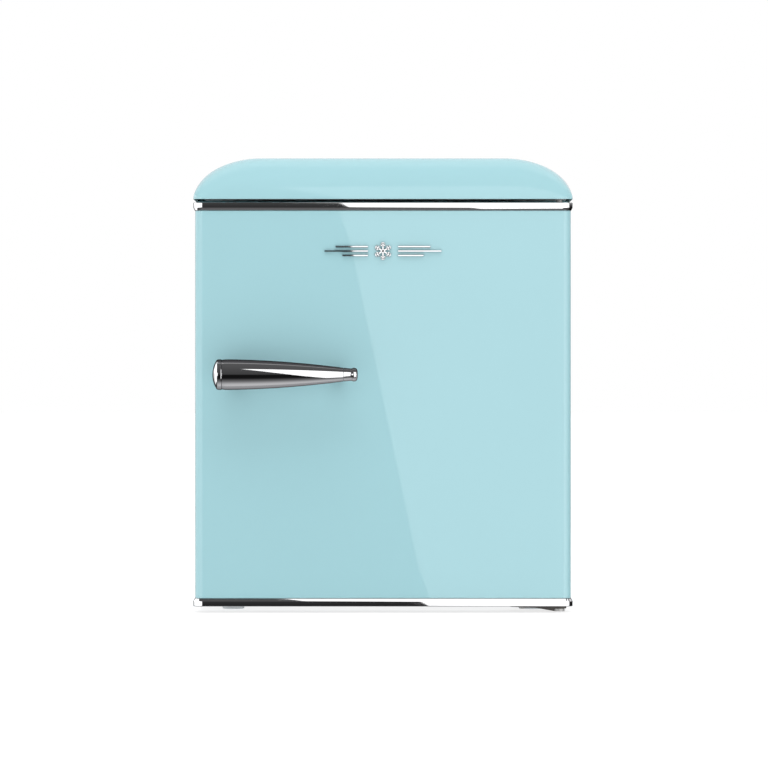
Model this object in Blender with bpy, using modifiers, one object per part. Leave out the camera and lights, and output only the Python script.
"""A retro table-top refrigerator of about 45 litres, modelled as the assembly that it is.

Metres, +Z up. The origin is on the floor, in the middle of the overall width and depth. The door faces -Y
and is hinged on its +X side. Every loose piece is one object of the collection "mini_fridge". Pieces that
move are parented to an empty on the axis that they move about.
"""

import math

import bmesh
import bpy
from mathutils import Matrix, Vector

# ---------------------------------------------------------------- driving dimensions

# overall
WIDTH = 0.440                   # cabinet and door
HEIGHT = 0.5335                 # floor to the crown of the cap
CABINET_DEPTH = 0.412           # cabinet front plane to the rear edge of the shell
DOOR_THICKNESS = 0.046
SEAL_GAP = 0.0125               # door back to cabinet front, filled by the gasket

# materials and clearances
GAP = 0.0003                    # between pieces that touch
RUNNING = 0.0004                # round a pin that turns or a screw in a wall
SHEET = 0.0008                  # steel sheet
PLATE = 0.0012                  # floor plate of the cabinet
HEAVY_PLATE = 0.0020            # compressor base
LINER = 0.0016                  # thermoformed plastic
FLOOR_CLEARANCE = 0.0011        # floor to the lowest screw head

# cap and trims
CAP_HEIGHT = 0.0495
CAP_DOOR_GAP = 0.0040           # shadow line between the cap and the door
CAP_PROUD = 0.0022              # the cap and the chrome trims stand this proud of the enamel
CAP_WALL = 0.0026
CAP_SIDE_ROUND = 0.080          # half width of the cap's elliptical shoulders
CAP_FRONT_ROUND = 0.046
CAP_NOSE = 0.10                 # height of the upright nose, as a share of the arch above it
TRIM_HEIGHT = 0.0095
TRIM_DECK = 0.0028              # closed face of a trim
TRIM_RIM = 0.0044
TRIM_ROUND = 0.0024
TRIM_BOSS = 0.0120              # solid metal round the bush
EDGE_RADIUS = 0.010             # vertical edges of the door
SOFFIT = 0.0015

# insulation and compressor compartment
SIDE_WALL = 0.038               # outside to the cavity
TOP_WALL = 0.036
BOTTOM_WALL = 0.043
BACK_WALL = 0.040
STEP_WALL = 0.032               # insulation between the compartment and the cavity
PIPE_SPACE = 0.0060             # between the foam and the back panel, for the condenser
BACK_INSET = 0.0040             # rear edge of the shell to the back panel
CAN_RADIUS = 0.0500             # compressor
CAN_HEIGHT = 0.1100
CAN_STRETCH = 1.16              # its plan is a little longer than it is deep
CAN_SEAM = 0.0030               # welded rim, out and up
CAN_CROWN = 0.0300              # height of its domed top
CAN_WAIST = 0.52                # height of the weld, as a share of the can's
CAN_SHOULDER = 0.0250           # where its wall starts to draw in below
CAN_DISH = 0.0060
CAN_FOOT = 0.0025               # its foot plate
CAN_FOOT_REACH = 0.0220         # how far the plate passes the can, to the sides
CAN_FOOT_INSET = 0.0020         # and how far it falls short of it, front and back
GROMMET_HEIGHT = 0.0140
GROMMET_RADIUS = 0.0095
GROMMET_TOP_RADIUS = 0.0075
GROMMET_FOOT_RADIUS = 0.0085
GROMMET_WAIST = 0.0037          # its top to the widest ring
GROMMET_FLARE = 0.0017          # its foot to the widest ring
GROMMET_FROM_END = 0.0120       # edges of the foot plate to the middle of a grommet
GROMMET_FROM_SIDE = 0.0110
COVER_HALF = 0.0220             # box over the compressor's terminals
COVER_DEPTH = 0.0300
COVER_LOW = 0.0300              # foot plate to its ends
COVER_TOP = 0.0850
BAY_HEADROOM = 0.0410           # above the compressor
BAY_SPARE = 0.0440              # in front of it and behind it, together

# handle
HANDLE_STANDOFF = 0.036         # door face to the axis of the bar
HANDLE_BIG_RADIUS = 0.0178
HANDLE_TIP_RADIUS = 0.0080
HANDLE_LENGTH = 0.169
HANDLE_EDGE = 0.0217            # door edge to the thick end
HANDLE_DROP = 0.2016            # top of the door down to the handle's axis
END_CAP = 0.0110                # length of the cap on the thick end
TIP_LENGTH = 0.0135             # length of the collar on the thin end
TAPER_POWER = 1.9
LEFT_POST = 0.0078              # radii of the posts
RIGHT_POST = 0.0058
POST_FLANGE = 0.0030
POST_FACE = 0.0050              # door to the straight part of a post
HANDLE_SCREW = 0.0022
SCREW_PLAY = 0.0008             # round a handle screw
HANDLE_HEAD = 0.0030            # head of a handle screw
HANDLE_HEAD_SHARE = 2.2         # its radius, as a multiple of the screw's
HANDLE_GRIP = 0.0080            # how far the screw enters the post
HEAD_POCKET = 0.0060            # radius and depth of the hollow in the foam round its head
POCKET_DEPTH = 0.0180

# emblem
BADGE_DROP = 0.0570             # top of the door down to its middle
BADGE_HALF = 0.0690
BADGE_THICKNESS = 0.0024
BADGE_BAR = 0.0011              # half width of its bars
BADGE_PITCH = 0.0060
BADGE_STEP = 0.0140             # each bar ends this far short of the one above
FLAKE_RADIUS = 0.0120

# hinges
PIN_RADIUS = 0.0035
PIN_FROM_SIDE = 0.0130
PIN_FROM_FACE = 0.0260
PIN_HEAD = 0.0030
PIN_SHOULDER = 0.0029           # its head is this much wider than the pin
BUSH_WALL = 0.0026
BRACKET = 0.0026                # hinge plate
BRACKET_LENGTH = 0.0560
BRACKET_NOSE = 0.0085
NOSE_TURN = -150                # degrees that the nose turns, from +X to the slanted front edge
BRACKET_LIFT = 0.0004           # cabinet to the lower plate
GUSSET_LENGTH = 0.0190          # stiffening web under the lower plate, along its front edge
GUSSET_DROP = 0.0030
TOP_FOOT = 0.0400               # how far a plate reaches over the cabinet
LOW_FOOT = 0.0260
SCREW_RADIUS = 0.0020
SCREW_HEAD_RADIUS = 0.0042
SCREW_HEAD = 0.0026
SCREW_LENGTH = 0.0150
SCREW_BRIM = 0.0008             # straight edge of its head
SCREW_TIP = 0.3                 # radius of its point, as a share of the shank's
PIN_BEVEL = 0.0004
BRACKET_CORNER = 0.0040         # cabinet face to where the plate starts to taper

# gasket, inner door and bins
GASKET_WIDTH = 0.0140
GASKET_FROM_CAVITY = 0.0020     # cavity edge to the inner edge of the gasket
LINER_LIP = 0.0004              # the tub stands this proud of the cabinet's face
PLATEAU_REACH = 0.0120          # how far the inner door enters the cavity
PLATEAU_SIDE = 0.0140           # its clearance to the cavity
PLATEAU_END = 0.0100
DYKE_REACH = 0.0880             # how far the side ridges enter the cavity
DYKE_WIDTH = 0.0150
DYKE_FROM_WALL = 0.0240
DYKE_INSET = 0.0060             # above the lower end of the plateau
BIN_WALL = 0.0024
BIN_SIDE = 0.0006               # bin to ridge
LOW_BIN_RISE = 0.0200
LOW_BIN_HEIGHT = 0.0550
HIGH_BIN_HEIGHT = 0.0500
HIGH_BIN_DROP = 0.0827          # top of the ridges to the floor of the upper bin

# shelf
SHELF_THICKNESS = 0.0040
SHELF_ABOVE_STEP = 0.0127       # step over the compressor to the ledges that carry it
SHELF_SIDE = 0.0020
SHELF_BACK = 0.0030
SHELF_FROM_DOOR = 0.0070
SHELF_TRIM_DEPTH = 0.0160
SHELF_TRIM_WALL = 0.0030
LEDGE_WIDTH = 0.0080
LEDGE_HEIGHT = 0.0060
LEDGE_PITCH = 0.0650
LEDGE_SETBACK = 0.0200
LEDGE_BACK = 0.0100
LEDGE_DROP = 0.0367             # drip tray to the highest ledges

# ice box
ICE_SETBACK = 0.1120            # cabinet front plane to the front frame
ICE_HEIGHT = 0.0880
ICE_TOP_GAP = 0.0060
ICE_SIDE_GAP = 0.0060
ICE_BACK_GAP = 0.0220
ICE_SHEET = 0.0015
FRAME_DEPTH = 0.0076
FRAME_OUT = 0.0040              # the frame stands this far round the box
FRAME_BORDER = 0.0060
EAR = 0.0040
FLAP_THICKNESS = 0.0050
FLAP_RISE = 0.0018              # box floor to the flap's hinge axis
FLAP_SIDE = 0.0016
FLAP_PIN_RADIUS = 0.0020
FLAP_PIN_LENGTH = 0.0040
GRIP_HALF = 0.0300
GRIP_DEPTH = 0.0060
GRIP_DROP = 0.0120
GRIP_THICKNESS = 0.0040

# drip tray
TRAY_HEIGHT = 0.0240
TRAY_DROP = 0.0080              # box floor to the rim of the tray
TRAY_INSET = 0.0100
TRAY_BACK = 0.0200
TRAY_LIP = 0.0050
TRAY_LIP_THICKNESS = 0.0020
TRAY_WALL = 0.0018
RUNNER = 0.0022
RUNNER_PLAY = 0.0008

# thermostat
KNOB_RADIUS = 0.0190
KNOB_DEPTH = 0.0150
KNOB_GRIP = 0.78                # waist of the knob, as a share of its skirt
KNOB_FIN = 0.0022
KNOB_GAP = 0.0006
SHAFT_RADIUS = 0.0030
SHAFT_LENGTH = 0.0190
SHAFT_PLAY = 0.0010
HOUSING_HALF = 0.0480
HOUSING_DEPTH = 0.1500
HOUSING_WALL = 0.0020
HOUSING_ROUND = 0.0040
HOUSING_SIDE = 0.0090           # housing to the cavity's side
HOUSING_ABOVE = 0.0100          # knob to the ceiling
HOUSING_BELOW = 0.0080
ICE_TO_HOUSING = 0.0130
SWITCH_HALF = 0.0170
SWITCH_RISE = 0.0200

# feet
FOOT_RADIUS = 0.0130
STUD_RADIUS = 0.0040
STUD_TOP = 0.0300
FOOT_FROM_SIDE = 0.0420
FOOT_FROM_FRONT = 0.0450
FOOT_FROM_BACK = 0.0300
FOOT_TRAVEL_GAP = 0.0020        # cabinet to the pad of a front foot
REAR_STUD = 0.0120              # stud of a rear foot above its pad
STUD_POCKET = 0.0080            # hollow in the foam above a front stud
STUD_PLAY = 0.0015
EDGE = 0.0010                   # small rounding of turned and moulded edges

# cooling circuit
CONDENSER_RADIUS = 0.0024
CONDENSER_PASSES = 7
CONDENSER_SIDE = 0.0300         # shell to the ends of the passes
CONDENSER_DROP = 0.0100         # passes to the tube that drops on the left
CONDENSER_BEND = 0.0120
DROP_BEND = 0.0080
UNDER_BAY = 0.0120              # ceiling of the compartment to the tube that crosses it
CONDENSER_LOW = 0.0450
CONDENSER_HIGH = 0.0400
RISER_OUT = 0.0140
PIPE_RADIUS = 0.0030
CAPILLARY_RADIUS = 0.0010
HOLE_PLAY = 0.0010
DRIER_RADIUS = 0.0085
DRIER_LENGTH = 0.0700
DRIER_NECK = 0.0080
DRIER_INLET = 0.0028            # radius of its neck
DRIER_OUTLET = 0.0022
DRIER_SHOULDER = 0.0140         # foot to where its body starts
DRIER_SPOUT = 0.0060
COIL_RADIUS = 0.0180
COIL_TURNS = 3
COIL_PITCH = 0.0035
COIL_BELOW = 0.0100             # drier to the first turn
CAPILLARY_BEND = 0.0060
HOT_OUT = 0.0200                # middle of the can to the discharge pipe
HOT_RISE = 0.0120               # and how far that pipe rises before it turns
HOT_BEND = 0.0050
COLD_SHARE = 0.41               # height of the suction pipe, as a share of the can's
COLD_STUB = 0.0008              # can to the suction pipe
COLD_BEND = 0.0090
PIPE_END = 0.0100               # how far the pipes enter the foam
PIPE_POCKET = 0.0150            # and the hollow that is left for them

# cord gland, back panel and base
GLAND_X = 0.1650
GLAND_RISE = 0.0300
GLAND_HALF = 0.0120
GLAND_DEPTH = 0.0070
GLAND_BOSS = 0.0070             # radius of its round end
GLAND_BORE = 0.0038
BASE_LIP = 0.0120
BASE_LIP_LIFT = 0.0005
PANEL_LAP = 0.0060              # how far the panel covers the compartment's edge
PANEL_MARGIN = 0.0300           # round the raised field
STUD_CUT = 0.0300               # length of the cutters for studs and screws

# ---------------------------------------------------------------- places that follow from them

OVERALL_DEPTH = CABINET_DEPTH + SEAL_GAP + DOOR_THICKNESS + HANDLE_STANDOFF + HANDLE_BIG_RADIUS
HALF = WIDTH / 2
INSIDE_HALF = HALF - SHEET - GAP      # what fits between the sides of a sheet shell
BACK_Y = OVERALL_DEPTH / 2
CABINET_Y = BACK_Y - CABINET_DEPTH
DOOR_BACK_Y = CABINET_Y - SEAL_GAP
DOOR_Y = DOOR_BACK_Y - DOOR_THICKNESS
PANEL_Y = BACK_Y - BACK_INSET
FOAM_BACK_Y = PANEL_Y - SHEET - PIPE_SPACE

FLOOR_GAP = FLOOR_CLEARANCE + SCREW_HEAD + GAP + BRACKET + BRACKET_LIFT
PLATE_TOP_Z = FLOOR_GAP + PLATE
BASE_TOP_Z = FLOOR_GAP + HEAVY_PLATE
CAP_Z = HEIGHT - CAP_HEIGHT
CABINET_TOP_Z = CAP_Z - GAP
DOOR_TOP_Z = CAP_Z - CAP_DOOR_GAP
DOOR_LOW_Z = FLOOR_GAP + 0.5 * BRACKET_LIFT
SKIN_LOW_Z = DOOR_LOW_Z + TRIM_HEIGHT + GAP
SKIN_TOP_Z = DOOR_TOP_Z - TRIM_HEIGHT - GAP

CAVITY_HALF = HALF - SIDE_WALL
CAVITY_LOW_Z = FLOOR_GAP + BOTTOM_WALL
CAVITY_TOP_Z = CABINET_TOP_Z - TOP_WALL
CAVITY_BACK_Y = BACK_Y - BACK_WALL

MOUNT_Z = BASE_TOP_Z + GROMMET_HEIGHT                   # underside of the compressor's foot plate
CAN_LOW_Z = MOUNT_Z + EDGE
CAN_TOP_Z = CAN_LOW_Z + CAN_HEIGHT
BAY_TOP_Z = CAN_TOP_Z + BAY_HEADROOM
BAY_Y = BACK_Y - 2 * (CAN_RADIUS + CAN_SEAM) - BAY_SPARE
STEP_Y = BAY_Y - STEP_WALL
STEP_TOP_Z = BAY_TOP_Z + STEP_WALL
COMPRESSOR_X = 0.0450
COMPRESSOR_Y = (BAY_Y + BACK_Y) / 2

PIN_X = HALF - PIN_FROM_SIDE
PIN_Y = DOOR_Y + PIN_FROM_FACE
BUSH_RADIUS = PIN_RADIUS + RUNNING + BUSH_WALL

PLATEAU_Y = CABINET_Y + PLATEAU_REACH
PLATEAU_HALF = CAVITY_HALF - PLATEAU_SIDE
PLATEAU_LOW_Z = CAVITY_LOW_Z + PLATEAU_END
PLATEAU_TOP_Z = CAVITY_TOP_Z - PLATEAU_END
DYKE_Y = CABINET_Y + DYKE_REACH
DYKE_HALF = CAVITY_HALF - DYKE_FROM_WALL
DYKE_LOW_Z = PLATEAU_LOW_Z + DYKE_INSET
BIN_HALF = DYKE_HALF - DYKE_WIDTH - BIN_SIDE

KNOB_X = CAVITY_HALF - HOUSING_SIDE - HOUSING_HALF
KNOB_Z = CAVITY_TOP_Z - HOUSING_ABOVE - KNOB_RADIUS
ICE_Y = CABINET_Y + ICE_SETBACK
BOX_Y = ICE_Y + FRAME_DEPTH + 0.0004                    # front edge of the evaporator
BOX_BACK_Y = CAVITY_BACK_Y - ICE_BACK_GAP
ICE_X0 = ICE_SIDE_GAP - CAVITY_HALF
ICE_X1 = KNOB_X - HOUSING_HALF - ICE_TO_HOUSING
ICE_TOP_Z = CAVITY_TOP_Z - ICE_TOP_GAP
ICE_LOW_Z = ICE_TOP_Z - ICE_HEIGHT
FLAP_Y = ICE_Y - FLAP_THICKNESS / 2 - 0.0017
FLAP_Z = ICE_LOW_Z + FLAP_RISE
HOUSING_Y = ICE_Y - 0.0020

TRAY_TOP_Z = ICE_LOW_Z - TRAY_DROP
TRAY_X0 = ICE_X0 + TRAY_INSET
TRAY_X1 = ICE_X1 - TRAY_INSET
TRAY_Y = ICE_Y + 0.0010
TRAY_BACK_Y = BOX_BACK_Y - TRAY_BACK
DYKE_TOP_Z = ICE_LOW_Z - TRAY_HEIGHT - 0.0120
SHELF_Y = DYKE_Y + SHELF_FROM_DOOR
SHELF_Z = STEP_TOP_Z + SHELF_ABOVE_STEP + GAP

HANDLE_X = HANDLE_EDGE - HALF
HANDLE_Y = DOOR_Y - HANDLE_STANDOFF
HANDLE_Z = DOOR_TOP_Z - HANDLE_DROP
BAR_X = HANDLE_X + END_CAP
BAR_LENGTH = HANDLE_LENGTH - END_CAP - TIP_LENGTH

FOOT_X = HALF - FOOT_FROM_SIDE
FOOT_Y = CABINET_Y + FOOT_FROM_FRONT
REAR_FOOT_Y = BACK_Y - FOOT_FROM_BACK

CONDENSER_Y = FOAM_BACK_Y + PIPE_SPACE / 2
HOT_END_Z = BAY_TOP_Z - 0.0150                          # lower end of the condenser's riser
DRIER_X = -0.1150
DRIER_Y = COMPRESSOR_Y + 0.0300
DRIER_TOP_Z = BAY_TOP_Z - 0.0320

TOP_SCREWS = [(PIN_X - d, CABINET_Y + 0.0280) for d in (0.0440, 0.0120)]
LOW_SCREWS = [(PIN_X - d, CABINET_Y + 0.0160) for d in (0.0420, 0.0040)]
POSTS = [(BAR_X + 0.0200, LEFT_POST), (BAR_X + BAR_LENGTH - 0.0100, RIGHT_POST)]
PIPE_HOLES = [
    (-0.0700, COMPRESSOR_Y - 0.0200, PIPE_RADIUS),
    (-0.0900, COMPRESSOR_Y - 0.0200, CAPILLARY_RADIUS),
]
DYKES = [(-DYKE_HALF, DYKE_WIDTH - DYKE_HALF), (DYKE_HALF - DYKE_WIDTH, DYKE_HALF)]
THROUGH = 0.0100                # cutters run this far past the faces they open

# ---------------------------------------------------------------- finishes: colour, roughness, metallic

ENAMEL = ("mint_enamel", (0.36, 0.62, 0.66), 0.12, 0.0)
CHROME = ("chrome_plate", (0.80, 0.80, 0.81), 0.06, 1.0)
ZINC = ("zinc_steel", (0.55, 0.56, 0.57), 0.35, 1.0)
WHITE = ("white_liner", (0.86, 0.88, 0.88), 0.28, 0.0)
GREY = ("grey_plastic", (0.72, 0.74, 0.75), 0.45, 0.0)
BLACK = ("black_plastic", (0.03, 0.03, 0.03), 0.50, 0.0)
CLEAR = ("clear_plastic", (0.80, 0.88, 0.90), 0.08, 0.0)
GLASS = ("shelf_glass", (0.75, 0.88, 0.84), 0.03, 0.0)
RUBBER = ("seal_rubber", (0.70, 0.71, 0.71), 0.60, 0.0)
MOUNT_RUBBER = ("mount_rubber", (0.03, 0.03, 0.03), 0.65, 0.0)
FOAM = ("urethane_foam", (0.80, 0.70, 0.42), 0.90, 0.0)
ALUMINIUM = ("aluminium_sheet", (0.75, 0.76, 0.77), 0.30, 1.0)
COPPER = ("copper_pipe", (0.70, 0.34, 0.20), 0.30, 1.0)
STEEL_BLACK = ("black_steel", (0.02, 0.02, 0.02), 0.40, 0.0)

TURNS = {
    "Z": (0.0, 0.0, 0.0),
    "X": (0.0, math.pi / 2, 0.0),
    "Y": (-math.pi / 2, 0.0, 0.0),
    "-Y": (math.pi / 2, 0.0, 0.0),
    "-Z": (math.pi, 0.0, 0.0),
}


# ---------------------------------------------------------------- bench tools

def clear_scene():
    for obj in list(bpy.data.objects):
        bpy.data.objects.remove(obj)


def new_collection(name):
    made = bpy.data.collections.new(name)
    bpy.context.scene.collection.children.link(made)
    return made


def finish_of(finish):
    """The Principled material of a finish, made once."""
    name, colour, roughness, metallic = finish
    made = bpy.data.materials.get(name)
    if made is None:
        made = bpy.data.materials.new(name)
        made.use_nodes = True
        shader = made.node_tree.nodes["Principled BSDF"]
        shader.inputs["Base Color"].default_value = (*colour, 1.0)
        shader.inputs["Roughness"].default_value = roughness
        shader.inputs["Metallic"].default_value = metallic
        made.diffuse_color = (*colour, 1.0)
    return made


def object_from(bm, place=(0, 0, 0), axis="Z"):
    mesh = bpy.data.meshes.new("shape")
    bm.to_mesh(mesh)
    bm.free()
    return placed(mesh, place, axis)


def placed(data, place=(0, 0, 0), axis="Z"):
    """A loose object with its own Z turned to an axis."""
    obj = bpy.data.objects.new("shape", data)
    obj.location = place
    obj.rotation_euler = TURNS[axis]
    return obj


def new_axis(name, place):
    """An empty on the axis of a joint. What moves about it becomes its child."""
    empty = bpy.data.objects.new(name, None)
    empty.location = place
    empty.empty_display_size = 0.05
    PIECES.objects.link(empty)
    return empty


def hang_on(obj, parent):
    """Parents an object and leaves it where it is."""
    obj.parent = parent
    obj.matrix_parent_inverse = parent.matrix_basis.inverted()


def add(name, obj, finish, axis=None):
    """Makes a loose object a piece of the refrigerator, on the empty that it moves with if there is one."""
    obj.name = obj.data.name = name
    obj.data.materials.append(finish_of(finish))
    PIECES.objects.link(obj)
    if axis:
        hang_on(obj, axis)
    return obj


def combine(obj, tool, operation):
    """A live Boolean whose hidden tool moves with the piece."""
    tool.name = f"{obj.name}_{operation.lower()}"
    tool.hide_render = True
    tool.display_type = "WIRE"
    CUTTERS.objects.link(tool)
    hang_on(tool, obj)
    modifier = obj.modifiers.new(operation.lower(), "BOOLEAN")
    modifier.operation = operation
    modifier.solver = "EXACT"
    modifier.object = tool


def cut(obj, *tools):
    for tool in tools:
        combine(obj, tool, "DIFFERENCE")


def join(obj, *tools):
    for tool in tools:
        combine(obj, tool, "UNION")


def round_edges(obj, width, segments=2):
    """Bevels the sharp edges, never wider than the shape allows."""
    modifier = obj.modifiers.new("rounding", "BEVEL")
    modifier.width = width
    modifier.segments = segments
    modifier.limit_method = "ANGLE"
    modifier.angle_limit = math.radians(35)
    modifier.use_clamp_overlap = True


def box(low, high):
    """A cube primitive that fills the box between two corners, given in any order."""
    a, b = Vector(low), Vector(high)
    bm = bmesh.new()
    bmesh.ops.create_cube(bm, size=1.0)
    bmesh.ops.scale(bm, vec=[abs(side) for side in b - a], verts=bm.verts)
    return object_from(bm, (a + b) / 2)


def rod(start, radius, length, axis="Z", segments=20):
    """A cylinder primitive that starts at a point and runs along an axis."""
    bm = bmesh.new()
    bmesh.ops.create_cone(
        bm, cap_ends=True, segments=segments, radius1=radius, radius2=radius, depth=length
    )
    bmesh.ops.translate(bm, vec=(0, 0, length / 2), verts=bm.verts)
    return object_from(bm, start, axis)


def evaluated_mesh(obj):
    """The mesh of a helper as its modifiers or its bevel leave it. The helper is removed."""
    CUTTERS.objects.link(obj)
    bpy.context.view_layer.update()
    graph = bpy.context.evaluated_depsgraph_get()
    mesh = bpy.data.meshes.new_from_object(obj.evaluated_get(graph))
    bpy.data.objects.remove(obj)
    return mesh


def turned(profile, place, axis="Z", steps=24):
    """A solid of revolution. The (radius, height) pairs run from the top down to the foot."""
    bm = bmesh.new()
    verts = [bm.verts.new((radius, 0.0, height)) for radius, height in profile]
    for first, second in zip(verts, verts[1:]):
        bm.edges.new((first, second))
    helper = object_from(bm)
    screw = helper.modifiers.new("turn", "SCREW")
    screw.axis = "Z"
    screw.steps = steps
    screw.render_steps = steps
    screw.use_merge_vertices = True
    screw.merge_threshold = 1e-5
    mesh = evaluated_mesh(helper)
    mesh.shade_smooth()
    mesh.set_sharp_from_angle(angle=math.radians(35))
    return placed(mesh, place, axis)


def spline(curve, points, cyclic):
    made = curve.splines.new("POLY")
    made.points.add(len(points) - 1)
    for point, place in zip(made.points, points):
        point.co = (*Vector(place).to_3d(), 1.0)
    made.use_cyclic_u = cyclic


def plate(outlines, low_z, high_z):
    """A flat plate. The first outline is its edge and the others are holes."""
    curve = bpy.data.curves.new("outline", "CURVE")
    curve.dimensions = "2D"
    curve.fill_mode = "BOTH"
    curve.extrude = (high_z - low_z) / 2
    for outline in outlines:
        spline(curve, outline, True)
    bm = bmesh.new()
    bm.from_mesh(evaluated_mesh(bpy.data.objects.new("outline", curve)))
    bmesh.ops.remove_doubles(bm, verts=bm.verts, dist=1e-6)
    return object_from(bm, (0, 0, (low_z + high_z) / 2))


def tube(points, radius, detail=2):
    """A round pipe along a list of points, as a curve with filled caps."""
    curve = bpy.data.curves.new("pipe", "CURVE")
    curve.dimensions = "3D"
    curve.bevel_depth = radius
    curve.bevel_resolution = detail
    curve.use_fill_caps = True
    spline(curve, points, False)
    return placed(curve)


def arc(centre, radius, start, end, steps):
    """Points of an arc in the XY plane, angles in degrees."""
    angles = [math.radians(start + (end - start) * k / steps) for k in range(steps + 1)]
    return [
        (centre[0] + radius * math.cos(a), centre[1] + radius * math.sin(a)) for a in angles
    ]


def circle(x, y, radius, steps=20):
    return arc((x, y), radius, 0, 360, steps)[:-1]


def bend(before, corner, after, radius, steps=5):
    """Points of a round bend at a corner between two runs that meet at a right angle."""
    first = corner + (before - corner).normalized() * radius
    last = corner + (after - corner).normalized() * radius
    centre = first + last - corner
    turns = [math.pi / 2 * k / steps for k in range(steps + 1)]
    return [centre + (first - centre) * math.cos(t) + (last - centre) * math.sin(t) for t in turns]


def piped(corners, radius):
    """The centreline of a pipe: straight runs between corners, with round bends."""
    corners = [Vector(corner) for corner in corners]
    points = [corners[0]]
    for before, corner, after in zip(corners, corners[1:], corners[2:]):
        points += bend(before, corner, after, radius)
    return points + [corners[-1]]


# ---------------------------------------------------------------- cabinet

def build_cabinet_shell():
    """Steel wrap with a folded front frame, open behind and below."""
    shell = box((-HALF, CABINET_Y, FLOOR_GAP), (HALF, BACK_Y, CABINET_TOP_Z))
    add("cabinet_shell", shell, ENAMEL)
    inner = HALF - SHEET
    mouth = CAVITY_HALF + LINER + GAP
    cut(
        shell,
        box((-inner, CABINET_Y + SHEET, 0), (inner, BACK_Y + THROUGH, CABINET_TOP_Z - SHEET)),
        box(
            (-mouth, CABINET_Y - THROUGH, CAVITY_LOW_Z - LINER - GAP),
            (mouth, CABINET_Y + THROUGH, CAVITY_TOP_Z + LINER + GAP),
        ),
        *top_screw_holes(),
    )


def top_screw_holes():
    return [
        rod((x, y, CABINET_TOP_Z - SCREW_LENGTH - EDGE), SCREW_RADIUS + RUNNING, STUD_CUT, segments=12)
        for x, y in TOP_SCREWS
    ]


def low_screw_holes():
    return [rod((x, y, 0), SCREW_RADIUS + RUNNING, STUD_CUT, segments=12) for x, y in LOW_SCREWS]


def pipe_hole_cutters(start_z, end_z):
    return [
        rod((x, y, start_z), radius + HOLE_PLAY, end_z - start_z, segments=12)
        for x, y, radius in PIPE_HOLES
    ]


def build_bottom_plate():
    low = (-INSIDE_HALF, CABINET_Y + SHEET + GAP, FLOOR_GAP)
    floor = add("bottom_plate", box(low, (INSIDE_HALF, BAY_Y - GAP, PLATE_TOP_Z)), ZINC)
    cut(floor, *[rod((side * FOOT_X, FOOT_Y, 0), STUD_RADIUS + RUNNING, STUD_CUT) for side in (-1, 1)])
    cut(floor, *low_screw_holes())


def build_bay_panel():
    """Folded sheet between the foam and the compressor compartment."""
    low, high = (-INSIDE_HALF, BAY_Y, FLOOR_GAP), (INSIDE_HALF, FOAM_BACK_Y, BAY_TOP_Z)
    panel = add("bay_panel", box(low, high), ZINC)
    cut(panel, box((-HALF, BAY_Y + SHEET, 0), (HALF, BACK_Y, BAY_TOP_Z - SHEET)))
    cut(panel, *pipe_hole_cutters(BAY_TOP_Z - THROUGH, BAY_TOP_Z + THROUGH))


def build_compressor_base():
    """Heavy plate under the compressor, with an upturned rear lip."""
    low = (-INSIDE_HALF, BAY_Y + SHEET + 2 * GAP, FLOOR_GAP)
    base = add("compressor_base", box(low, (INSIDE_HALF, PANEL_Y, BASE_TOP_Z)), ZINC)
    cut(base, *[rod((side * FOOT_X, REAR_FOOT_Y, 0), STUD_RADIUS + GAP, STUD_CUT) for side in (-1, 1)])
    join(
        base,
        box(
            (-INSIDE_HALF, PANEL_Y - 2 * SHEET, FLOOR_GAP + BASE_LIP_LIFT),
            (INSIDE_HALF, PANEL_Y, BASE_TOP_Z + BASE_LIP),
        ),
    )


def build_back_panel():
    """Rear sheet above the compartment, with a raised field that stiffens it."""
    low_z, top_z = BAY_TOP_Z - PANEL_LAP, CABINET_TOP_Z - SHEET - GAP
    margin = PANEL_MARGIN
    panel = box((-INSIDE_HALF, PANEL_Y - SHEET, low_z), (INSIDE_HALF, PANEL_Y, top_z))
    add("back_panel", panel, ZINC)
    join(
        panel,
        box(
            (margin - INSIDE_HALF, PANEL_Y - SHEET / 2, low_z + margin),
            (INSIDE_HALF - margin, PANEL_Y + BACK_INSET / 2, top_z - margin),
        ),
    )


def build_foam():
    """Insulation between the shell and the liner, foamed round the compressor compartment."""
    grow = LINER + GAP
    low = (-INSIDE_HALF, CABINET_Y + SHEET + GAP, PLATE_TOP_Z + GAP)
    foam = box(low, (INSIDE_HALF, FOAM_BACK_Y, CABINET_TOP_Z - SHEET - GAP))
    add("insulation_foam", foam, FOAM)
    side, front, top = CAVITY_HALF + grow, CABINET_Y - THROUGH, CAVITY_TOP_Z + grow
    cut(
        foam,
        box((-side, front, CAVITY_LOW_Z - grow), (side, STEP_Y + grow, top)),
        box((-side, front, STEP_TOP_Z - grow), (side, CAVITY_BACK_Y + grow, top)),
        box((-HALF, BAY_Y - GAP, 0), (HALF, BACK_Y, BAY_TOP_Z + GAP)),
        *[rod((end * FOOT_X, FOOT_Y, 0), STUD_RADIUS + STUD_PLAY, STUD_TOP + STUD_POCKET) for end in (-1, 1)],
        *low_screw_holes(),
        *pipe_hole_cutters(BAY_TOP_Z - THROUGH, BAY_TOP_Z + PIPE_POCKET),
        *top_screw_holes(),
    )


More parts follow.
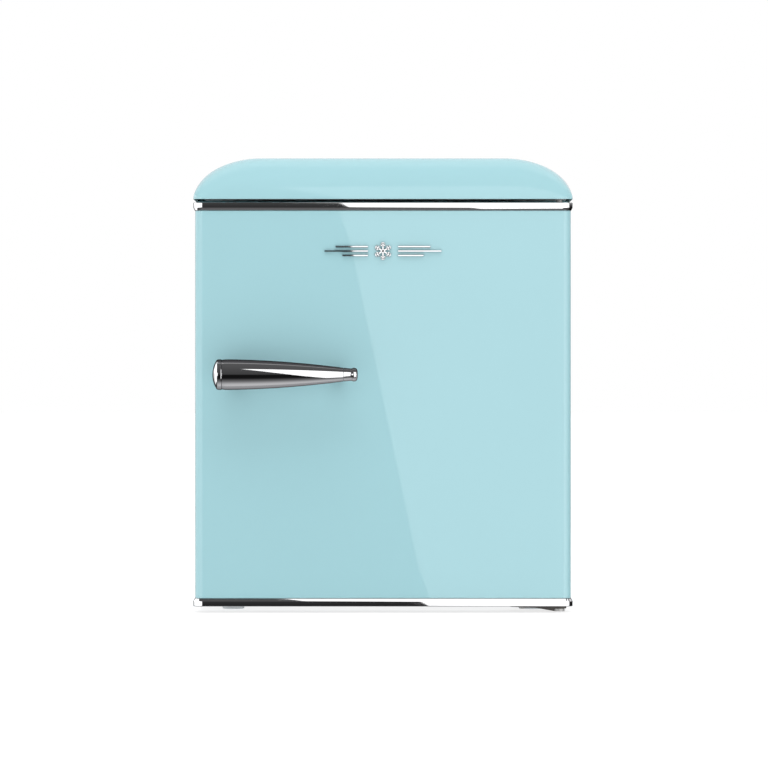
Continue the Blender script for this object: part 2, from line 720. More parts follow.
def build_inner_liner():
    """Moulded white tub with a step over the compressor and ledges for the shelf."""
    low = (-CAVITY_HALF - LINER, CABINET_Y - LINER_LIP, CAVITY_LOW_Z - LINER)
    liner = box(low, (CAVITY_HALF + LINER, CAVITY_BACK_Y + LINER, CAVITY_TOP_Z + LINER))
    add("inner_liner", liner, WHITE)
    front = CABINET_Y - THROUGH
    cut(
        liner,
        box((-HALF, STEP_Y + LINER, 0), (HALF, BACK_Y, STEP_TOP_Z - LINER)),
        box((-CAVITY_HALF, front, CAVITY_LOW_Z), (CAVITY_HALF, STEP_Y, CAVITY_TOP_Z)),
        box((-CAVITY_HALF, STEP_Y - EDGE, STEP_TOP_Z), (CAVITY_HALF, CAVITY_BACK_Y, CAVITY_TOP_Z)),
    )
    middle = SHELF_Z - GAP
    for top in (middle - LEDGE_PITCH, middle, TRAY_TOP_Z - TRAY_HEIGHT - LEDGE_DROP):
        back_y = CAVITY_BACK_Y if top - LEDGE_HEIGHT > STEP_TOP_Z else STEP_Y
        for side in (-1, 1):
            near = (side * (CAVITY_HALF - LEDGE_WIDTH), SHELF_Y + LEDGE_SETBACK, top - LEDGE_HEIGHT)
            join(liner, box(near, (side * (CAVITY_HALF + LINER / 2), back_y - LEDGE_BACK, top)))


# ---------------------------------------------------------------- cap

def cap_section(spread, steps=9):
    """Half of the cap's arch as (x, height) from the crown to the rim, drawn in by a wall."""
    round_x = CAP_SIDE_ROUND - spread
    flat = HALF + CAP_PROUD - CAP_SIDE_ROUND
    turns = [math.pi / 2 * k / steps for k in range(steps + 1)]
    return [(flat + round_x * math.sin(t), (CAP_HEIGHT - spread) * math.cos(t)) for t in turns]


def cap_solid(spread, low_z, stations=7):
    """A loft of arches from the nose to the back. Towards the nose the arch sinks along an ellipse."""
    front_y, back_y = DOOR_Y - CAP_PROUD + spread, BACK_Y - spread
    round_y = CAP_FRONT_ROUND - spread
    turns = [math.pi / 2 * k / stations for k in range(stations + 1)]
    levels = [(front_y + round_y * (1 - math.cos(t)), t) for t in turns] + [(back_y, math.pi / 2)]
    bm = bmesh.new()
    rings = []
    for y, turn in levels:
        corner = 0.6 * EDGE_RADIUS * (1 - math.sin(turn))
        share = max(math.sin(turn), CAP_NOSE)
        half = [(x - corner, CAP_Z + height * share) for x, height in cap_section(spread)]
        half[-1] = (half[-1][0], low_z)
        right = [bm.verts.new((x, y, z)) for x, z in half]
        left = [bm.verts.new((-x, y, z)) for x, z in reversed(half)]
        rings.append(left + right)
    for near, far in zip(rings, rings[1:]):
        for i in range(len(near)):
            j = (i + 1) % len(near)
            bm.faces.new((near[i], near[j], far[j], far[i]))
    bm.faces.new(rings[0])
    bm.faces.new(reversed(rings[-1]))
    bmesh.ops.recalc_face_normals(bm, faces=bm.faces)
    return object_from(bm)


def build_cap():
    """Domed worktop cover, hollow below. It reaches over the door."""
    cap = add("top_cap", cap_solid(0.0, CAP_Z), ENAMEL)
    cut(cap, cap_solid(CAP_WALL, CAP_Z - THROUGH))


def build_cap_soffit():
    """Closing plate under the cap's overhang, ended short of the top hinge."""
    inset = 2 * CAP_PROUD + CAP_WALL + 0.0040
    low = (inset - HALF, DOOR_Y + EDGE_RADIUS, CAP_Z)
    high = (PIN_X - BRACKET_LENGTH - 0.0020, CABINET_Y - EDGE, CAP_Z + SOFFIT)
    add("cap_soffit", box(low, high), GREY)


# ---------------------------------------------------------------- hinges

def hinge_plate(reach, low_z, screws):
    """A plate whose foot lies on the cabinet and which tapers to a round nose at the pin."""
    back_y = CABINET_Y + reach
    left, right = PIN_X - BRACKET_LENGTH, PIN_X + BRACKET_NOSE
    nose = arc((PIN_X, PIN_Y), BRACKET_NOSE, 0, NOSE_TURN, 8)
    outline = [(left, back_y), (right, back_y), *nose, (left, CABINET_Y + BRACKET_CORNER)][::-1]
    holes = [circle(PIN_X, PIN_Y, PIN_RADIUS + GAP, 16)]
    holes += [circle(x, y, SCREW_RADIUS + GAP, 12) for x, y in screws]
    return plate([outline, *holes], low_z, low_z + BRACKET)


def screw(seat, axis):
    """A pan-head screw whose head stands on the seat, out along the axis."""
    head = [(0, SCREW_HEAD), (SCREW_RADIUS, SCREW_HEAD - EDGE / 10), (SCREW_HEAD_RADIUS, SCREW_BRIM)]
    shank = [(SCREW_HEAD_RADIUS, 0), (SCREW_RADIUS, 0), (SCREW_RADIUS, EDGE - SCREW_LENGTH)]
    tip = [(SCREW_TIP * SCREW_RADIUS, -SCREW_LENGTH), (0, -SCREW_LENGTH)]
    return turned(head + shank + tip, seat, axis, steps=12)


def build_top_hinge():
    low_z = CABINET_TOP_Z + GAP
    seat = low_z + BRACKET + GAP
    add("hinge_top_bracket", hinge_plate(TOP_FOOT, low_z, TOP_SCREWS), ZINC)
    foot, head = DOOR_TOP_Z - TRIM_HEIGHT + EDGE, PIN_RADIUS + PIN_SHOULDER - PIN_BEVEL
    profile = [(0, seat + PIN_HEAD), (head, seat + PIN_HEAD), (head, seat), (PIN_RADIUS, seat)]
    profile += [(PIN_RADIUS, foot + EDGE), (PIN_RADIUS - EDGE, foot), (0, foot)]
    add("hinge_top_pin", turned(profile, (PIN_X, PIN_Y, 0), steps=16), ZINC)
    for k, (x, y) in enumerate(TOP_SCREWS):
        add(f"hinge_top_screw_{k + 1}", screw((x, y, seat), "Z"), ZINC)


def gusset(plate_low, collar):
    """A wedge under the slanted front edge of the lower plate. It deepens towards the pin's collar."""
    tip, start = bracket_edge(PIN_X - collar - 2 * GAP), bracket_edge(PIN_X - collar - GUSSET_LENGTH)
    along = (tip - start).normalized()
    inwards = BRACKET / 2 * Vector((-along.y, along.x, 0))
    bm = bmesh.new()
    sides = []
    for shift in (inwards / 4, 5 * inwards / 4):
        corners = [start + shift, tip + shift, tip + shift, start + shift]
        heights = [plate_low + BRACKET / 2, plate_low + BRACKET / 2, plate_low - GUSSET_DROP, plate_low - GAP]
        sides.append([bm.verts.new((c.x, c.y, z)) for c, z in zip(corners, heights)])
    near, far = sides
    bm.faces.new(near)
    bm.faces.new(reversed(far))
    for i in range(4):
        j = (i + 1) % 4
        bm.faces.new((near[i], far[i], far[j], near[j]))
    bmesh.ops.recalc_face_normals(bm, faces=bm.faces)
    return object_from(bm)


def bracket_edge(x):
    """The point of a hinge plate's slanted front edge at x."""
    start = Vector((PIN_X - BRACKET_LENGTH, CABINET_Y + BRACKET_CORNER, 0))
    turn = math.radians(NOSE_TURN)
    end = Vector((PIN_X + BRACKET_NOSE * math.cos(turn), PIN_Y + BRACKET_NOSE * math.sin(turn), 0))
    return start.lerp(end, (x - start.x) / (end.x - start.x))


def build_bottom_hinge():
    """Plate under the cabinet. Its pin has a flat collar below and rises into the bush of the door."""
    top = FLOOR_GAP - BRACKET_LIFT
    seat = top - BRACKET - GAP
    plate_low = top - BRACKET
    bracket = add("hinge_bottom_bracket", hinge_plate(LOW_FOOT, plate_low, LOW_SCREWS), STEEL_BLACK)
    tip, collar = DOOR_LOW_Z + TRIM_HEIGHT - EDGE, PIN_RADIUS + PIN_SHOULDER
    foot = FLOOR_CLEARANCE / 2
    profile = [(0, tip), (PIN_RADIUS - EDGE, tip), (PIN_RADIUS, tip - EDGE), (PIN_RADIUS, seat)]
    profile += [(collar, seat), (collar, foot), (0, foot)]
    add("hinge_bottom_pin", turned(profile, (PIN_X, PIN_Y, 0), steps=16), ZINC)
    join(bracket, gusset(plate_low, collar))
    for k, (x, y) in enumerate(LOW_SCREWS):
        add(f"hinge_bottom_screw_{k + 1}", screw((x, y, seat), "-Z"), ZINC)


# ---------------------------------------------------------------- feet

def foot(x, y, pad_top, stud_top):
    """A rubber pad on a threaded stud."""
    stud = [(0, stud_top), (STUD_RADIUS - EDGE, stud_top), (STUD_RADIUS, stud_top - EDGE)]
    pad = [(STUD_RADIUS, pad_top), (FOOT_RADIUS - 2 * EDGE, pad_top), (FOOT_RADIUS, pad_top - EDGE)]
    pad += [(FOOT_RADIUS, EDGE), (FOOT_RADIUS - EDGE, 0), (0, 0)]
    return turned(stud + pad, (x, y, 0), steps=20)


def build_feet():
    """Two feet in front that screw in and out, and two fixed ones behind."""
    for name, side in (("left", -1), ("right", 1)):
        x = side * FOOT_X
        axis = new_axis(f"{name}_foot_axis", (x, FOOT_Y, 0))
        front = foot(x, FOOT_Y, FLOOR_GAP - FOOT_TRAVEL_GAP, STUD_TOP)
        add(f"foot_front_{name}", front, GREY, axis)
        seat = FLOOR_GAP - GAP
        add(f"foot_rear_{name}", foot(x, REAR_FOOT_Y, seat, seat + REAR_STUD), GREY)


# ---------------------------------------------------------------- door

def door_outline(proud, steps=5):
    """Plan of the door: square behind, with its two front edges rounded."""
    half, radius, front = HALF + proud, EDGE_RADIUS + proud, DOOR_Y - proud
    left = arc((radius - half, front + radius), radius, 180, 270, steps)
    right = arc((half - radius, front + radius), radius, 270, 360, steps)
    return [(-half, DOOR_BACK_Y), *left, *right, (half, DOOR_BACK_Y)]


def build_door_skin(axis):
    """Enamelled sheet bent round the front and sides of the door."""
    bm = bmesh.new()
    rows = [[bm.verts.new((x, y, z)) for x, y in door_outline(0.0)] for z in (SKIN_LOW_Z, SKIN_TOP_Z)]
    for k in range(len(rows[0]) - 1):
        bm.faces.new((rows[0][k], rows[0][k + 1], rows[1][k + 1], rows[1][k]))
    skin = add("door_skin", object_from(bm), ENAMEL, axis)
    wall = skin.modifiers.new("sheet", "SOLIDIFY")
    wall.thickness = SHEET
    wall.offset = -1
    hole = HANDLE_SCREW + SCREW_PLAY
    for x, _ in POSTS:
        cut(skin, rod((x, DOOR_Y - THROUGH, HANDLE_Z), hole, 2 * THROUGH, "Y", 12))


def build_trim(name, low_z, opens_up, axis):
    """Chromed end of the door: a tray with a rim all round and a bored boss at the pin."""
    trim = add(name, plate([door_outline(CAP_PROUD)], low_z, low_z + TRIM_HEIGHT), CHROME, axis)
    round_edges(trim, TRIM_ROUND)
    pocket = (low_z + TRIM_DECK, low_z + TRIM_HEIGHT + THROUGH)
    if not opens_up:
        pocket = (low_z - THROUGH, low_z + TRIM_HEIGHT - TRIM_DECK)
    left, front = EDGE_RADIUS + TRIM_RIM - HALF - CAP_PROUD, DOOR_Y - CAP_PROUD + TRIM_RIM
    cut(
        trim,
        box((left, front, pocket[0]), (PIN_X - TRIM_BOSS, DOOR_BACK_Y - TRIM_RIM, pocket[1])),
        rod((PIN_X, PIN_Y, low_z - THROUGH), BUSH_RADIUS + GAP, TRIM_HEIGHT + 2 * THROUGH),
    )
    ring = [circle(PIN_X, PIN_Y, BUSH_RADIUS), circle(PIN_X, PIN_Y, PIN_RADIUS + RUNNING)]
    bush = plate(ring, low_z, low_z + TRIM_HEIGHT)
    add(name.replace("door_trim", "hinge_bush"), bush, BLACK, axis)


def build_door_liner(axis):
    """Inner panel: a flange, a plateau that enters the cavity and two hollow ridges for the bins."""
    low = (-INSIDE_HALF, DOOR_BACK_Y - LINER, SKIN_LOW_Z + GAP)
    liner = add("door_liner", box(low, (INSIDE_HALF, DOOR_BACK_Y, SKIN_TOP_Z - GAP)), WHITE, axis)
    half = PLATEAU_HALF
    join(
        liner,
        box((-half, DOOR_BACK_Y - LINER / 2, PLATEAU_LOW_Z), (half, PLATEAU_Y, PLATEAU_TOP_Z)),
        *[
            box((left, PLATEAU_Y - LINER / 2, DYKE_LOW_Z), (right, DYKE_Y, DYKE_TOP_Z))
            for left, right in DYKES
        ],
    )
    cut(
        liner,
        box(
            (LINER - half, DOOR_BACK_Y - THROUGH, PLATEAU_LOW_Z + LINER),
            (half - LINER, PLATEAU_Y - LINER, PLATEAU_TOP_Z - LINER),
        ),
        *[
            box(
                (left + LINER, PLATEAU_Y - 2 * LINER, DYKE_LOW_Z + LINER),
                (right - LINER, DYKE_Y - LINER, DYKE_TOP_Z - LINER),
            )
            for left, right in DYKES
        ],
    )


def build_door_foam(axis):
    half, grow = PLATEAU_HALF, LINER + GAP
    side = INSIDE_HALF - EDGE_RADIUS
    low = (-side, DOOR_Y + SHEET + GAP, SKIN_LOW_Z)
    foam = add("door_foam", box(low, (side, DOOR_BACK_Y - grow, SKIN_TOP_Z)), FOAM, axis)
    join(
        foam,
        box(
            (grow - half, DOOR_BACK_Y - grow - 0.0050, PLATEAU_LOW_Z + grow),
            (half - grow, PLATEAU_Y - grow, PLATEAU_TOP_Z - grow),
        ),
    )
    # room for the screws of the handle
    for x, _ in POSTS:
        cut(foam, rod((x, DOOR_Y - THROUGH, HANDLE_Z), HEAD_POCKET, POCKET_DEPTH + THROUGH, "Y", 12))


def build_gasket(axis):
    spread = GASKET_FROM_CAVITY + GASKET_WIDTH
    half, low_z, top_z = CAVITY_HALF + spread, CAVITY_LOW_Z - spread, CAVITY_TOP_Z + spread
    front, back = DOOR_BACK_Y + GAP, CABINET_Y - GAP - LINER_LIP
    seal = add("door_gasket", box((-half, front, low_z), (half, back, top_z)), RUBBER, axis)
    inner = half - GASKET_WIDTH
    cut(
        seal,
        box(
            (-inner, front - THROUGH, low_z + GASKET_WIDTH),
            (inner, back + THROUGH, top_z - GASKET_WIDTH),
        ),
    )


def build_bin(name, low_z, height, axis):
    """Open-topped clear bin that stands between the ridges."""
    front, back, top_z = PLATEAU_Y + GAP, DYKE_Y - 0.0020, low_z + height
    tub = add(name, box((-BIN_HALF, front, low_z), (BIN_HALF, back, top_z)), CLEAR, axis)
    inner = BIN_HALF - BIN_WALL
    cut(
        tub,
        box((-inner, front + BIN_WALL, low_z + BIN_WALL), (inner, back - BIN_WALL, top_z + THROUGH)),
    )


def build_door():
    axis = new_axis("door_hinge_axis", (PIN_X, PIN_Y, 0))
    build_door_skin(axis)
    build_door_foam(axis)
    build_door_liner(axis)
    build_gasket(axis)
    build_trim("door_trim_top", DOOR_TOP_Z - TRIM_HEIGHT, False, axis)
    build_trim("door_trim_bottom", DOOR_LOW_Z, True, axis)
    build_bin("door_bin_lower", CAVITY_LOW_Z + LOW_BIN_RISE, LOW_BIN_HEIGHT, axis)
    build_bin("door_bin_upper", DYKE_TOP_Z - HIGH_BIN_DROP, HIGH_BIN_HEIGHT, axis)
    build_handle(axis)
    build_badge(axis)


# ---------------------------------------------------------------- handle and emblem

def bar_radius(along):
    """Radius of the bar at a distance from its thick end. It tapers slowly, then fast."""
    share = along / BAR_LENGTH
    return HANDLE_BIG_RADIUS - (HANDLE_BIG_RADIUS - HANDLE_TIP_RADIUS) * share**TAPER_POWER


def bar_solid(extra=0.0, steps=8):
    """The bar, or with extra a cutter that leaves a gap all round it."""
    places = [BAR_LENGTH * k / steps for k in range(steps, -1, -1)]
    side = [(bar_radius(along) + extra, along) for along in places]
    top, foot_end = side[0][1] + 4 * extra, -4 * extra
    profile = [(0, top), (side[0][0], top), *side[1:-1], (side[-1][0], foot_end), (0, foot_end)]
    return turned(profile, (BAR_X, HANDLE_Y, HANDLE_Z), "X")


def build_handle(axis):
    """A turned bar with a domed cap on its thick end and a collar on its thin one, on two posts."""
    place = (BAR_X, HANDLE_Y, HANDLE_Z)
    add("handle_bar", bar_solid(), CHROME, axis)

    big = HANDLE_BIG_RADIUS
    dome = [(0, -GAP), (big, -GAP), (big, -0.36 * END_CAP), (big - 0.0012, -0.73 * END_CAP)]
    dome += [(big - 0.0050, -0.93 * END_CAP), (0, -END_CAP)]
    add("handle_end_cap", turned(dome, place, "X"), CHROME, axis)

    tip, end = HANDLE_TIP_RADIUS, BAR_LENGTH + TIP_LENGTH
    collar = [(0, end), (tip - 0.0015, end), (tip + 0.0004, end - 0.0012), (tip + 0.0004, end - 0.0030)]
    collar += [(tip - EDGE, end - 0.0042), (tip - 0.0004, BAR_LENGTH + GAP), (0, BAR_LENGTH + GAP)]
    add("handle_tip", turned(collar, place, "X", steps=20), CHROME, axis)

    for name, (x, radius) in zip(("left", "right"), POSTS):
        build_post(name, x, radius, axis)


def build_post(name, x, radius, axis):
    """A post that is hollowed to the bar, and the screw that holds it from inside the door skin."""
    face = DOOR_Y - GAP
    wide = radius + POST_FLANGE
    profile = [(0, HANDLE_STANDOFF), (radius, HANDLE_STANDOFF), (radius, POST_FACE)]
    profile += [(wide, POST_FLANGE), (wide, 0), (0, 0)]
    post = turned(profile, (x, face, HANDLE_Z), "-Y", steps=20)
    add(f"handle_post_{name}", post, CHROME, axis)
    hole = HANDLE_SCREW + SCREW_PLAY
    cut(post, bar_solid(GAP), rod((x, face - HANDLE_GRIP, HANDLE_Z), hole, 2 * THROUGH, "Y", 12))
    head, grip, head_radius = HANDLE_HEAD, HANDLE_GRIP, HANDLE_HEAD_SHARE * HANDLE_SCREW
    profile = [(0, grip), (HANDLE_SCREW, grip), (HANDLE_SCREW, 0), (head_radius, 0)]
    profile += [(head_radius, -head), (0, -head)]
    fastener = turned(profile, (x, DOOR_Y + SHEET + GAP, HANDLE_Z), "-Y", steps=12)
    add(f"handle_screw_{name}", fastener, ZINC, axis)


def build_badge(axis):
    """Wordless emblem: a six-armed snowflake between two sets of speed lines."""
    z, bar = DOOR_TOP_Z - BADGE_DROP, BADGE_BAR
    back = DOOR_Y - GAP
    front = back - BADGE_THICKNESS
    badge = add("badge", box((-BADGE_HALF, front, z - bar), (BADGE_HALF, back, z + bar)), CHROME, axis)
    for turn in (60, 120):
        arm = box((-FLAKE_RADIUS, front, z - bar), (FLAKE_RADIUS, back, z + bar))
        arm.rotation_euler = (0, math.radians(turn), 0)
        join(badge, arm)
    inner = FLAKE_RADIUS + BADGE_PITCH
    for side in (-1, 1):
        low, high = z - BADGE_PITCH - bar, z + BADGE_PITCH + bar
        join(badge, box((side * inner, front, low), (side * (inner + 2 * bar), back, high)))
        for level in (z - BADGE_PITCH, z + BADGE_PITCH):
            end = side * (BADGE_HALF - BADGE_STEP)
            join(badge, box((side * inner, front, level - bar), (end, back, level + bar)))


# ---------------------------------------------------------------- inside

def build_shelf():
    half = CAVITY_HALF - SHELF_SIDE
    back, top = CAVITY_BACK_Y - SHELF_BACK, SHELF_Z + SHELF_THICKNESS
    front = SHELF_Y + SHELF_TRIM_WALL
    glass = add("shelf_glass", box((-half, front, SHELF_Z), (half, back, top)), GLASS)
    round_edges(glass, EDGE, 1)
    low = (-half, SHELF_Y, SHELF_Z - 0.0040)
    trim = box(low, (half, SHELF_Y + SHELF_TRIM_DEPTH, top + SHELF_TRIM_WALL))
    add("shelf_front_trim", trim, WHITE)
    round_edges(trim, 1.4 * EDGE)
    cut(trim, box((-HALF, front - GAP, SHELF_Z - GAP), (HALF, front + 2 * SHELF_TRIM_DEPTH, top + GAP)))


def build_evaporator():
    """Ice box of roll-bonded aluminium, open in front."""
    wall = ICE_SHEET
    ice_box = box((ICE_X0, BOX_Y, ICE_LOW_Z), (ICE_X1, BOX_BACK_Y, ICE_TOP_Z))
    add("evaporator", ice_box, ALUMINIUM)
    low = (ICE_X0 + wall, BOX_Y - THROUGH, ICE_LOW_Z + wall)
    cut(ice_box, box(low, (ICE_X1 - wall, BOX_BACK_Y - wall, ICE_TOP_Z - wall)))


def build_ice_box_frame():
    """Front frame of the ice box, with ears for the flap's pins and runners for the drip tray."""
    low = (ICE_X0 - FRAME_OUT, ICE_Y, ICE_LOW_Z - FRAME_BORDER)
    frame = box(low, (ICE_X1 + FRAME_OUT, ICE_Y + FRAME_DEPTH, CAVITY_TOP_Z - GAP))
    add("ice_box_frame", frame, GREY)
    border = FRAME_BORDER
    cut(
        frame,
        box(
            (ICE_X0 + border, ICE_Y - THROUGH, ICE_LOW_Z + border),
            (ICE_X1 - border, ICE_Y + 2 * THROUGH, ICE_TOP_Z - border),
        ),
    )
    for side, edge in ((-1, ICE_X0), (1, ICE_X1)):
        near = (edge - side * EDGE, FLAP_Y - EAR, FLAP_Z - EAR)
        join(frame, box(near, (edge + side * FRAME_OUT, ICE_Y + EDGE, FLAP_Z + EAR)))
    for side, edge in ((-1, TRAY_X0), (1, TRAY_X1)):
        join(frame, *runner(side, edge))
    reach = FLAP_PIN_LENGTH + FLAP_SIDE
    for edge in (ICE_X0 - reach + 0.0004, ICE_X1 - FLAP_SIDE - 0.0004):
        cut(frame, rod((edge, FLAP_Y, FLAP_Z), FLAP_PIN_RADIUS + RUNNING, reach + 0.0014, "X", 16))


def runner(side, edge):
    """Web and lip that carry one side of the drip tray."""
    low, back = TRAY_TOP_Z - TRAY_LIP_THICKNESS - RUNNER - 0.0006, TRAY_BACK_Y - 0.0100
    front = ICE_Y + FRAME_DEPTH / 2
    outer = edge + side * (TRAY_LIP + RUNNER_PLAY)
    web = box((outer, front, low), (outer + side * 0.0020, back, ICE_LOW_Z - 0.0006))
    lip = box((edge + side * RUNNER_PLAY, front, low), (outer + side * EDGE, back, low + RUNNER))
    return web, lip


def build_flap():
    """Ice box door. It swings down about two pins at its lower corners."""
    half = FLAP_THICKNESS / 2
    low_x, high_x = ICE_X0 + FLAP_SIDE, ICE_X1 - FLAP_SIDE
    middle = (low_x + high_x) / 2
    axis = new_axis("flap_hinge_axis", (middle, FLAP_Y, FLAP_Z))
    flap = box((low_x, FLAP_Y - half, FLAP_Z - half), (high_x, FLAP_Y + half, ICE_TOP_Z))
    add("ice_box_flap", flap, CLEAR, axis)
    round_edges(flap, EDGE, 1)
    length = FLAP_PIN_LENGTH + EDGE
    top = ICE_TOP_Z - GRIP_DROP
    join(
        flap,
        rod((low_x - FLAP_PIN_LENGTH, FLAP_Y, FLAP_Z), FLAP_PIN_RADIUS, length, "X", 16),
        rod((high_x - EDGE, FLAP_Y, FLAP_Z), FLAP_PIN_RADIUS, length, "X", 16),
        box(
            (middle - GRIP_HALF, FLAP_Y - half - GRIP_DEPTH, top - GRIP_THICKNESS),
            (middle + GRIP_HALF, FLAP_Y - half + EDGE, top),
        ),
    )


def build_drip_tray():
    axis = new_axis("tray_slide_axis", ((TRAY_X0 + TRAY_X1) / 2, TRAY_Y, TRAY_TOP_Z))
    low_z, wall = TRAY_TOP_Z - TRAY_HEIGHT, TRAY_WALL
    tray = box((TRAY_X0, TRAY_Y, low_z), (TRAY_X1, TRAY_BACK_Y, TRAY_TOP_Z))
    add("drip_tray", tray, CLEAR, axis)
    lip_low = (TRAY_X0 - TRAY_LIP, TRAY_Y + TRAY_DROP, TRAY_TOP_Z - TRAY_LIP_THICKNESS)
    join(tray, box(lip_low, (TRAY_X1 + TRAY_LIP, TRAY_BACK_Y, TRAY_TOP_Z)))
    inner = (TRAY_X0 + wall, TRAY_Y + wall, low_z + wall)
    cut(tray, box(inner, (TRAY_X1 - wall, TRAY_BACK_Y - wall, TRAY_TOP_Z + THROUGH)))


def build_thermostat():
    """Housing under the ceiling, the switch inside it, and the knob with its shaft."""
    left, right, wall = KNOB_X - HOUSING_HALF, KNOB_X + HOUSING_HALF, HOUSING_WALL
    low_z, top_z = KNOB_Z - KNOB_RADIUS - HOUSING_BELOW, CAVITY_TOP_Z - GAP
    back_y = HOUSING_Y + HOUSING_DEPTH
    housing = add("thermostat_housing", box((left, HOUSING_Y, low_z), (right, back_y, top_z)), WHITE)
    round_edges(housing, HOUSING_ROUND)
    cut(
        housing,
        box((left + wall, HOUSING_Y + wall, low_z + wall), (right - wall, back_y - wall, top_z + THROUGH)),
        rod((KNOB_X, HOUSING_Y - THROUGH, KNOB_Z), SHAFT_RADIUS + SHAFT_PLAY, 2 * THROUGH, "Y"),
    )
    near = (KNOB_X - SWITCH_HALF, HOUSING_Y + SHAFT_LENGTH + EDGE, KNOB_Z - SWITCH_RISE)
    far = (KNOB_X + SWITCH_HALF, HOUSING_Y + SHAFT_LENGTH + 0.0310, KNOB_Z + SWITCH_RISE)
    round_edges(add("thermostat_switch", box(near, far), ZINC), 2 * EDGE)
    build_knob()


def build_knob():
    back_y = HOUSING_Y - KNOB_GAP
    axis = new_axis("knob_axis", (KNOB_X, back_y, KNOB_Z))
    waist, depth, round_by = KNOB_RADIUS * KNOB_GRIP, KNOB_DEPTH, 1.5 * EDGE
    profile = [(0, depth), (waist - round_by, depth), (waist, depth - round_by), (waist, 0.0055)]
    profile += [(KNOB_RADIUS, 0.0040), (KNOB_RADIUS, 0), (SHAFT_RADIUS, 0)]
    profile += [(SHAFT_RADIUS, -SHAFT_LENGTH), (0, -SHAFT_LENGTH)]
    knob = turned(profile, (KNOB_X, back_y, KNOB_Z), "-Y")
    add("thermostat_knob", knob, WHITE, axis)
    front, reach = back_y - depth, 0.9 * waist
    low = (KNOB_X - KNOB_FIN, front - 2 * EDGE, KNOB_Z - reach)
    join(knob, box(low, (KNOB_X + KNOB_FIN, front + 3 * EDGE, KNOB_Z + reach)))


# ---------------------------------------------------------------- cooling circuit

def build_compressor():
    """Hermetic can on a foot plate with four rubber grommets."""
    radius, seam, steps = CAN_RADIUS, CAN_SEAM, 4
    turns = [math.pi / 2 * k / steps for k in range(steps + 1)]
    crown = [(radius * math.sin(t), CAN_HEIGHT - CAN_CROWN * (1 - math.cos(t))) for t in turns]
    waist = CAN_WAIST * CAN_HEIGHT
    profile = crown + [(radius, waist + seam), (radius + seam, waist + seam), (radius + seam, waist - seam)]
    profile += [(radius, waist - seam), (radius, CAN_SHOULDER), (0.8 * radius, CAN_DISH)]
    profile += [(radius / 2, 0), (0, 0)]
    can = turned(profile, (COMPRESSOR_X, COMPRESSOR_Y, CAN_LOW_Z), steps=20)
    can.data.transform(Matrix.Diagonal((CAN_STRETCH, 1.0, 1.0, 1.0)))
    add("compressor", can, STEEL_BLACK)
    half_x, half_y = radius + CAN_FOOT_REACH, radius - CAN_FOOT_INSET
    low = (COMPRESSOR_X - half_x, COMPRESSOR_Y - half_y, MOUNT_Z)
    join(can, box(low, (COMPRESSOR_X + half_x, COMPRESSOR_Y + half_y, MOUNT_Z + CAN_FOOT)))
    at_x, at_y = half_x - GROMMET_FROM_END, half_y - GROMMET_FROM_SIDE
    corners = [(-at_x, -at_y), (-at_x, at_y), (at_x, -at_y), (at_x, at_y)]
    for k, (dx, dy) in enumerate(corners):
        place = (COMPRESSOR_X + dx, COMPRESSOR_Y + dy, 0)
        add(f"compressor_grommet_{k + 1}", grommet(place), MOUNT_RUBBER)
    right = COMPRESSOR_X + CAN_STRETCH * (radius + seam)
    near = (right + GAP, COMPRESSOR_Y - COVER_HALF, MOUNT_Z + COVER_LOW)
    far = (right + COVER_DEPTH, COMPRESSOR_Y + COVER_HALF, MOUNT_Z + COVER_TOP)
    round_edges(add("terminal_cover", box(near, far), BLACK), 3 * EDGE)


def grommet(place):
    top, foot_z = MOUNT_Z - GAP, BASE_TOP_Z + GAP
    profile = [(0, top), (GROMMET_TOP_RADIUS, top), (GROMMET_RADIUS, top - GROMMET_WAIST)]
    profile += [(GROMMET_RADIUS, foot_z + GROMMET_FLARE), (GROMMET_FOOT_RADIUS, foot_z), (0, foot_z)]
    return turned(profile, place, steps=16)


def build_condenser():
    """Serpentine pressed against the back panel. It goes on into the compartment, to the drier.

    It rises on the right, runs to and fro on the way down and drops on the left.
    """
    half = HALF - CONDENSER_SIDE
    low_z, high_z = BAY_TOP_Z + CONDENSER_LOW, CABINET_TOP_Z - CONDENSER_HIGH
    pitch = (high_z - low_z) / (CONDENSER_PASSES - 1)
    radius, y = pitch / 2, CONDENSER_Y
    riser = half + RISER_OUT
    points = piped([(riser, y, HOT_END_Z), (riser, y, high_z), (0, y, high_z)], CONDENSER_BEND)[:-1]
    for k in range(CONDENSER_PASSES - 1):
        z, side = high_z - pitch * k, -1 if k % 2 == 0 else 1
        end = side * (half - radius)
        turns = [math.pi * step / 6 for step in range(7)]
        points += [
            Vector((end + side * radius * math.sin(t), y, z - radius + radius * math.cos(t)))
            for t in turns
        ]
    drop, turn_z = -half - CONDENSER_DROP, BAY_TOP_Z - UNDER_BAY
    corners = [
        points[-1],
        (drop, y, low_z),
        (drop, y, turn_z),
        (drop, DRIER_Y, turn_z),
        (DRIER_X, DRIER_Y, turn_z),
        (DRIER_X, DRIER_Y, DRIER_TOP_Z + GAP),
    ]
    points = points[:-1] + piped(corners, DROP_BEND)
    add("condenser_tube", tube(points, CONDENSER_RADIUS), STEEL_BLACK)


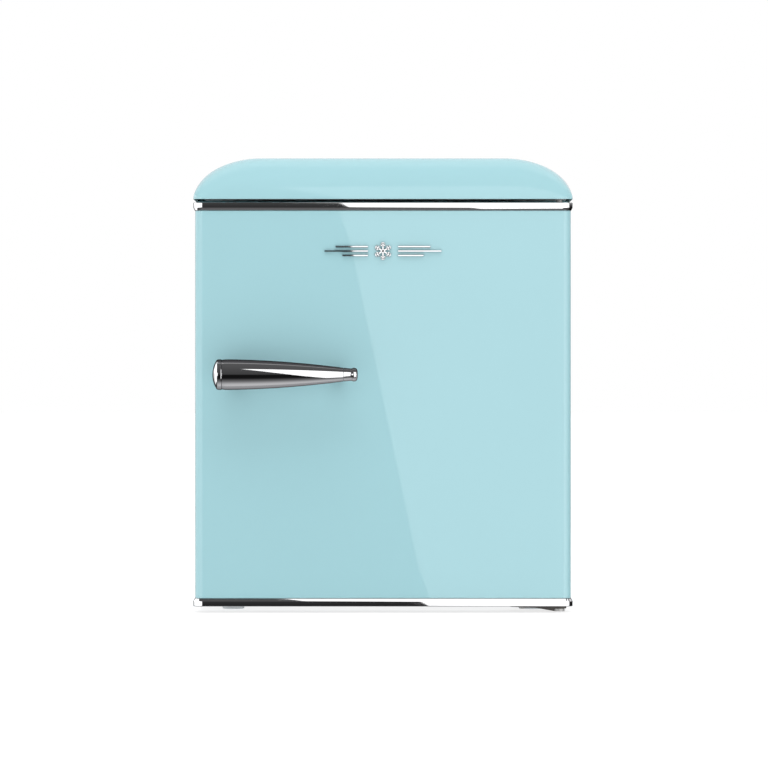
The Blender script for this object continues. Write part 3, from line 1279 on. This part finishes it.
def build_pipes():
    """Discharge pipe from the can to the riser, and the suction pipe that comes back from the foam."""
    start_x, rise = COMPRESSOR_X + HOT_OUT, CAN_TOP_Z + HOT_RISE
    hot_x = HALF - CONDENSER_SIDE + RISER_OUT
    corners = [
        (start_x, COMPRESSOR_Y, CAN_TOP_Z + GAP),
        (start_x, COMPRESSOR_Y, rise),
        (hot_x, COMPRESSOR_Y, rise),
        (hot_x, CONDENSER_Y, rise),
        (hot_x, CONDENSER_Y, HOT_END_Z - GAP),
    ]
    add("discharge_pipe", tube(piped(corners, HOT_BEND), CONDENSER_RADIUS), COPPER)

    hole_x, hole_y, _ = PIPE_HOLES[0]
    level = CAN_LOW_Z + COLD_SHARE * CAN_HEIGHT
    corners = [
        (COMPRESSOR_X - CAN_STRETCH * CAN_RADIUS - COLD_STUB, COMPRESSOR_Y, level),
        (hole_x, COMPRESSOR_Y, level),
        (hole_x, hole_y, level),
        (hole_x, hole_y, BAY_TOP_Z + PIPE_END),
    ]
    add("suction_pipe", tube(piped(corners, COLD_BEND), PIPE_RADIUS), COPPER)


def build_drier():
    """Filter drier and the thin capillary that coils below it on its way up into the foam."""
    top, foot_z, neck = DRIER_TOP_Z, DRIER_TOP_Z - DRIER_LENGTH, DRIER_NECK
    profile = [(0, top), (DRIER_INLET, top), (DRIER_INLET, top - neck), (DRIER_RADIUS, top - 2 * neck)]
    profile += [(DRIER_RADIUS, foot_z + DRIER_SHOULDER), (DRIER_OUTLET, foot_z + DRIER_SPOUT)]
    profile += [(DRIER_OUTLET, foot_z), (0, foot_z)]
    add("filter_drier", turned(profile, (DRIER_X, DRIER_Y, 0), steps=14), COPPER)

    per_turn, start_z = 12, foot_z - GAP
    centre_y, low = DRIER_Y - COIL_RADIUS, start_z - COIL_BELOW
    points = [(DRIER_X, DRIER_Y, start_z), (DRIER_X, DRIER_Y, start_z - COIL_BELOW / 2)]
    for k in range(COIL_TURNS * per_turn + 1):
        a = math.pi / 2 + 2 * math.pi * k / per_turn
        x, y = DRIER_X + COIL_RADIUS * math.cos(a), centre_y + COIL_RADIUS * math.sin(a)
        points.append((x, y, low - COIL_PITCH * k / per_turn))
    hole_x, hole_y, _ = PIPE_HOLES[1]
    _, end_y, end_z = points[-1]
    inside = (hole_x, hole_y, BAY_TOP_Z + 0.8 * PIPE_END)
    corners = [points[-1], (hole_x, end_y, end_z), (hole_x, hole_y, end_z), inside]
    points += piped(corners, CAPILLARY_BEND)[1:]
    add("capillary_tube", tube(points, CAPILLARY_RADIUS, detail=1), COPPER)


def build_cord_gland():
    """Bush on the lip of the compressor base where the mains lead would leave."""
    x, z = GLAND_X, FLOOR_GAP + GLAND_RISE
    low = (x - GLAND_HALF, PANEL_Y - GLAND_DEPTH, BASE_TOP_Z + GAP)
    high = (x + GLAND_HALF, PANEL_Y - 2 * SHEET - 2 * GAP, z + GLAND_HALF)
    gland = add("cord_gland", box(low, high), BLACK)
    round_edges(gland, 1.5 * EDGE, 1)
    join(gland, rod((x, PANEL_Y - 6 * EDGE, z), GLAND_BOSS, 8 * EDGE, "Y", 16))
    cut(gland, rod((x, PANEL_Y - 2 * THROUGH, z), GLAND_BORE, 4 * THROUGH, "Y", 16))


def main():
    build_cabinet_shell()
    build_bottom_plate()
    build_bay_panel()
    build_compressor_base()
    build_back_panel()
    build_foam()
    build_inner_liner()
    build_cap()
    build_cap_soffit()
    build_top_hinge()
    build_bottom_hinge()
    build_feet()
    build_door()
    build_shelf()
    build_evaporator()
    build_ice_box_frame()
    build_flap()
    build_drip_tray()
    build_thermostat()
    build_compressor()
    build_condenser()
    build_pipes()
    build_drier()
    build_cord_gland()


clear_scene()
PIECES = new_collection("mini_fridge")
CUTTERS = new_collection("cutters")
main()
